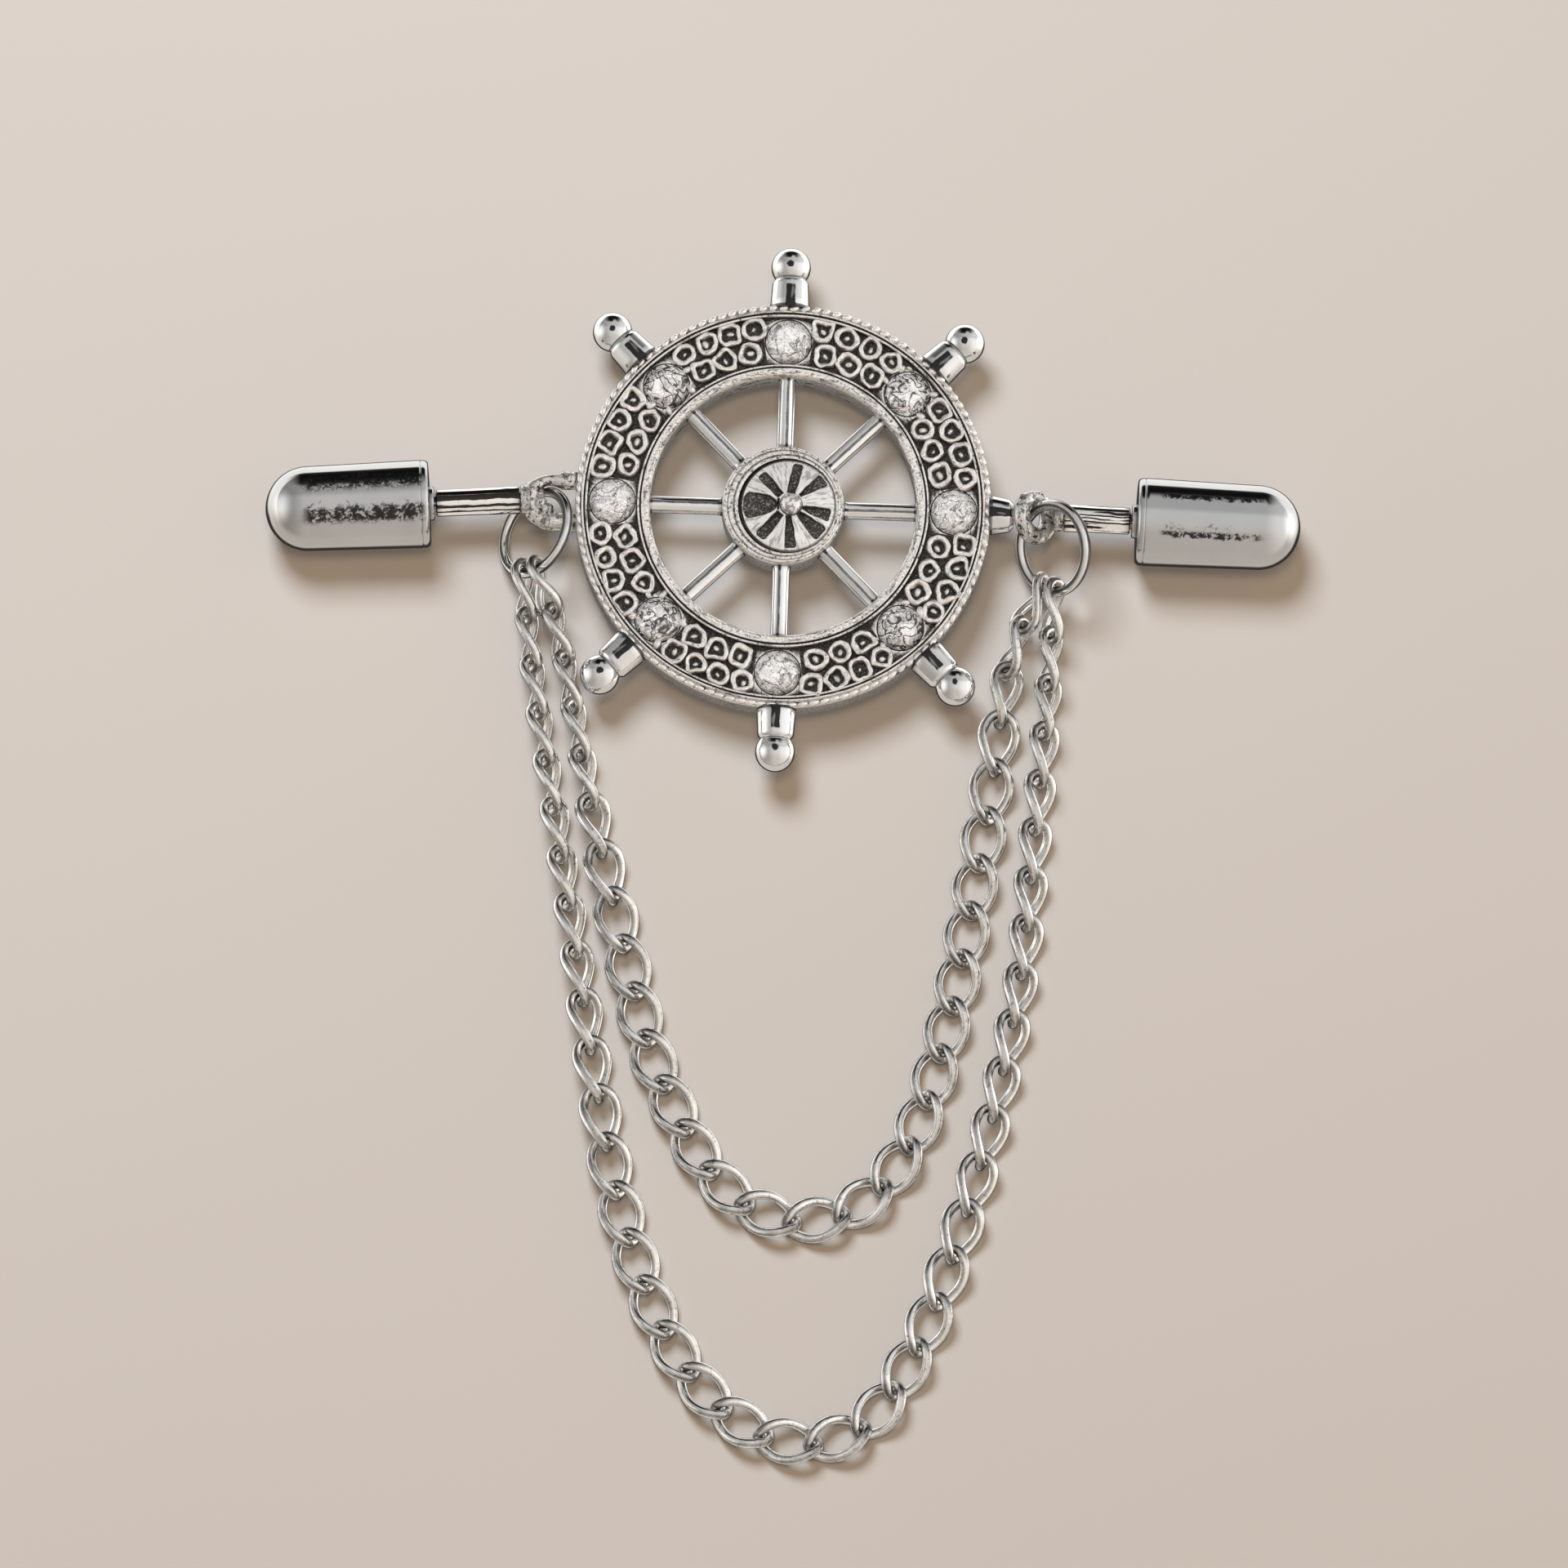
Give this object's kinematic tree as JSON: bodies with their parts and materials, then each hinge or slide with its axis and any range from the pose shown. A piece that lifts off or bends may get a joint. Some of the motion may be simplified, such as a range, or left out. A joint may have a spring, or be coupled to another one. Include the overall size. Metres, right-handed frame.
{
  "type": "lapel chain with a ship's wheel",
  "caption": "Ship's wheel lapel ornament with set stones, a pin and pull-off cap on each side, and nested curb chains hung from jump rings.",
  "frame": {"origin": "centre of the wheel's flat back", "axes": "+X to the wheel's right, +Y up the wheel away from the hanging chains, +Z out of the wheel's front"},
  "size_m": [0.0634, 0.0754, 0.0055],
  "materials": {
    "cast_metal": "polished cast relief with darkened recesses",
    "frosted_metal": "frosted flutes, darkened slots",
    "crystal": "faceted foil-backed crystal",
    "pin_metal": "polished",
    "cap_metal": "mirror polished",
    "ring_metal": "polished wire",
    "chain_metal": "polished curb links"
  },
  "bodies": {
    "brooch": {"wheel": "cast_metal", "rosette": "frosted_metal", "stone_1": "crystal", "stone_2": "crystal", "stone_3": "crystal", "stone_4": "crystal", "stone_5": "crystal", "stone_6": "crystal", "stone_7": "crystal", "stone_8": "crystal", "pin_left": "pin_metal", "pin_right": "pin_metal", "jump_ring_left": "ring_metal", "jump_ring_right": "ring_metal", "chain_inner": "chain_metal", "chain_outer": "chain_metal"},
    "cap_left": {"cap_left": "cap_metal"},
    "cap_right": {"cap_right": "cap_metal"}
  },
  "joints": [
    {"name": "cap_left_pull", "type": "slide", "parent": "brooch", "child": "cap_left", "axis": [-0.9971, -0.0767, 0], "range_m": [0, 0.009]},
    {"name": "cap_right_pull", "type": "slide", "parent": "brooch", "child": "cap_right", "axis": [0.9998, -0.0175, 0], "range_m": [0, 0.009]}
  ]
}
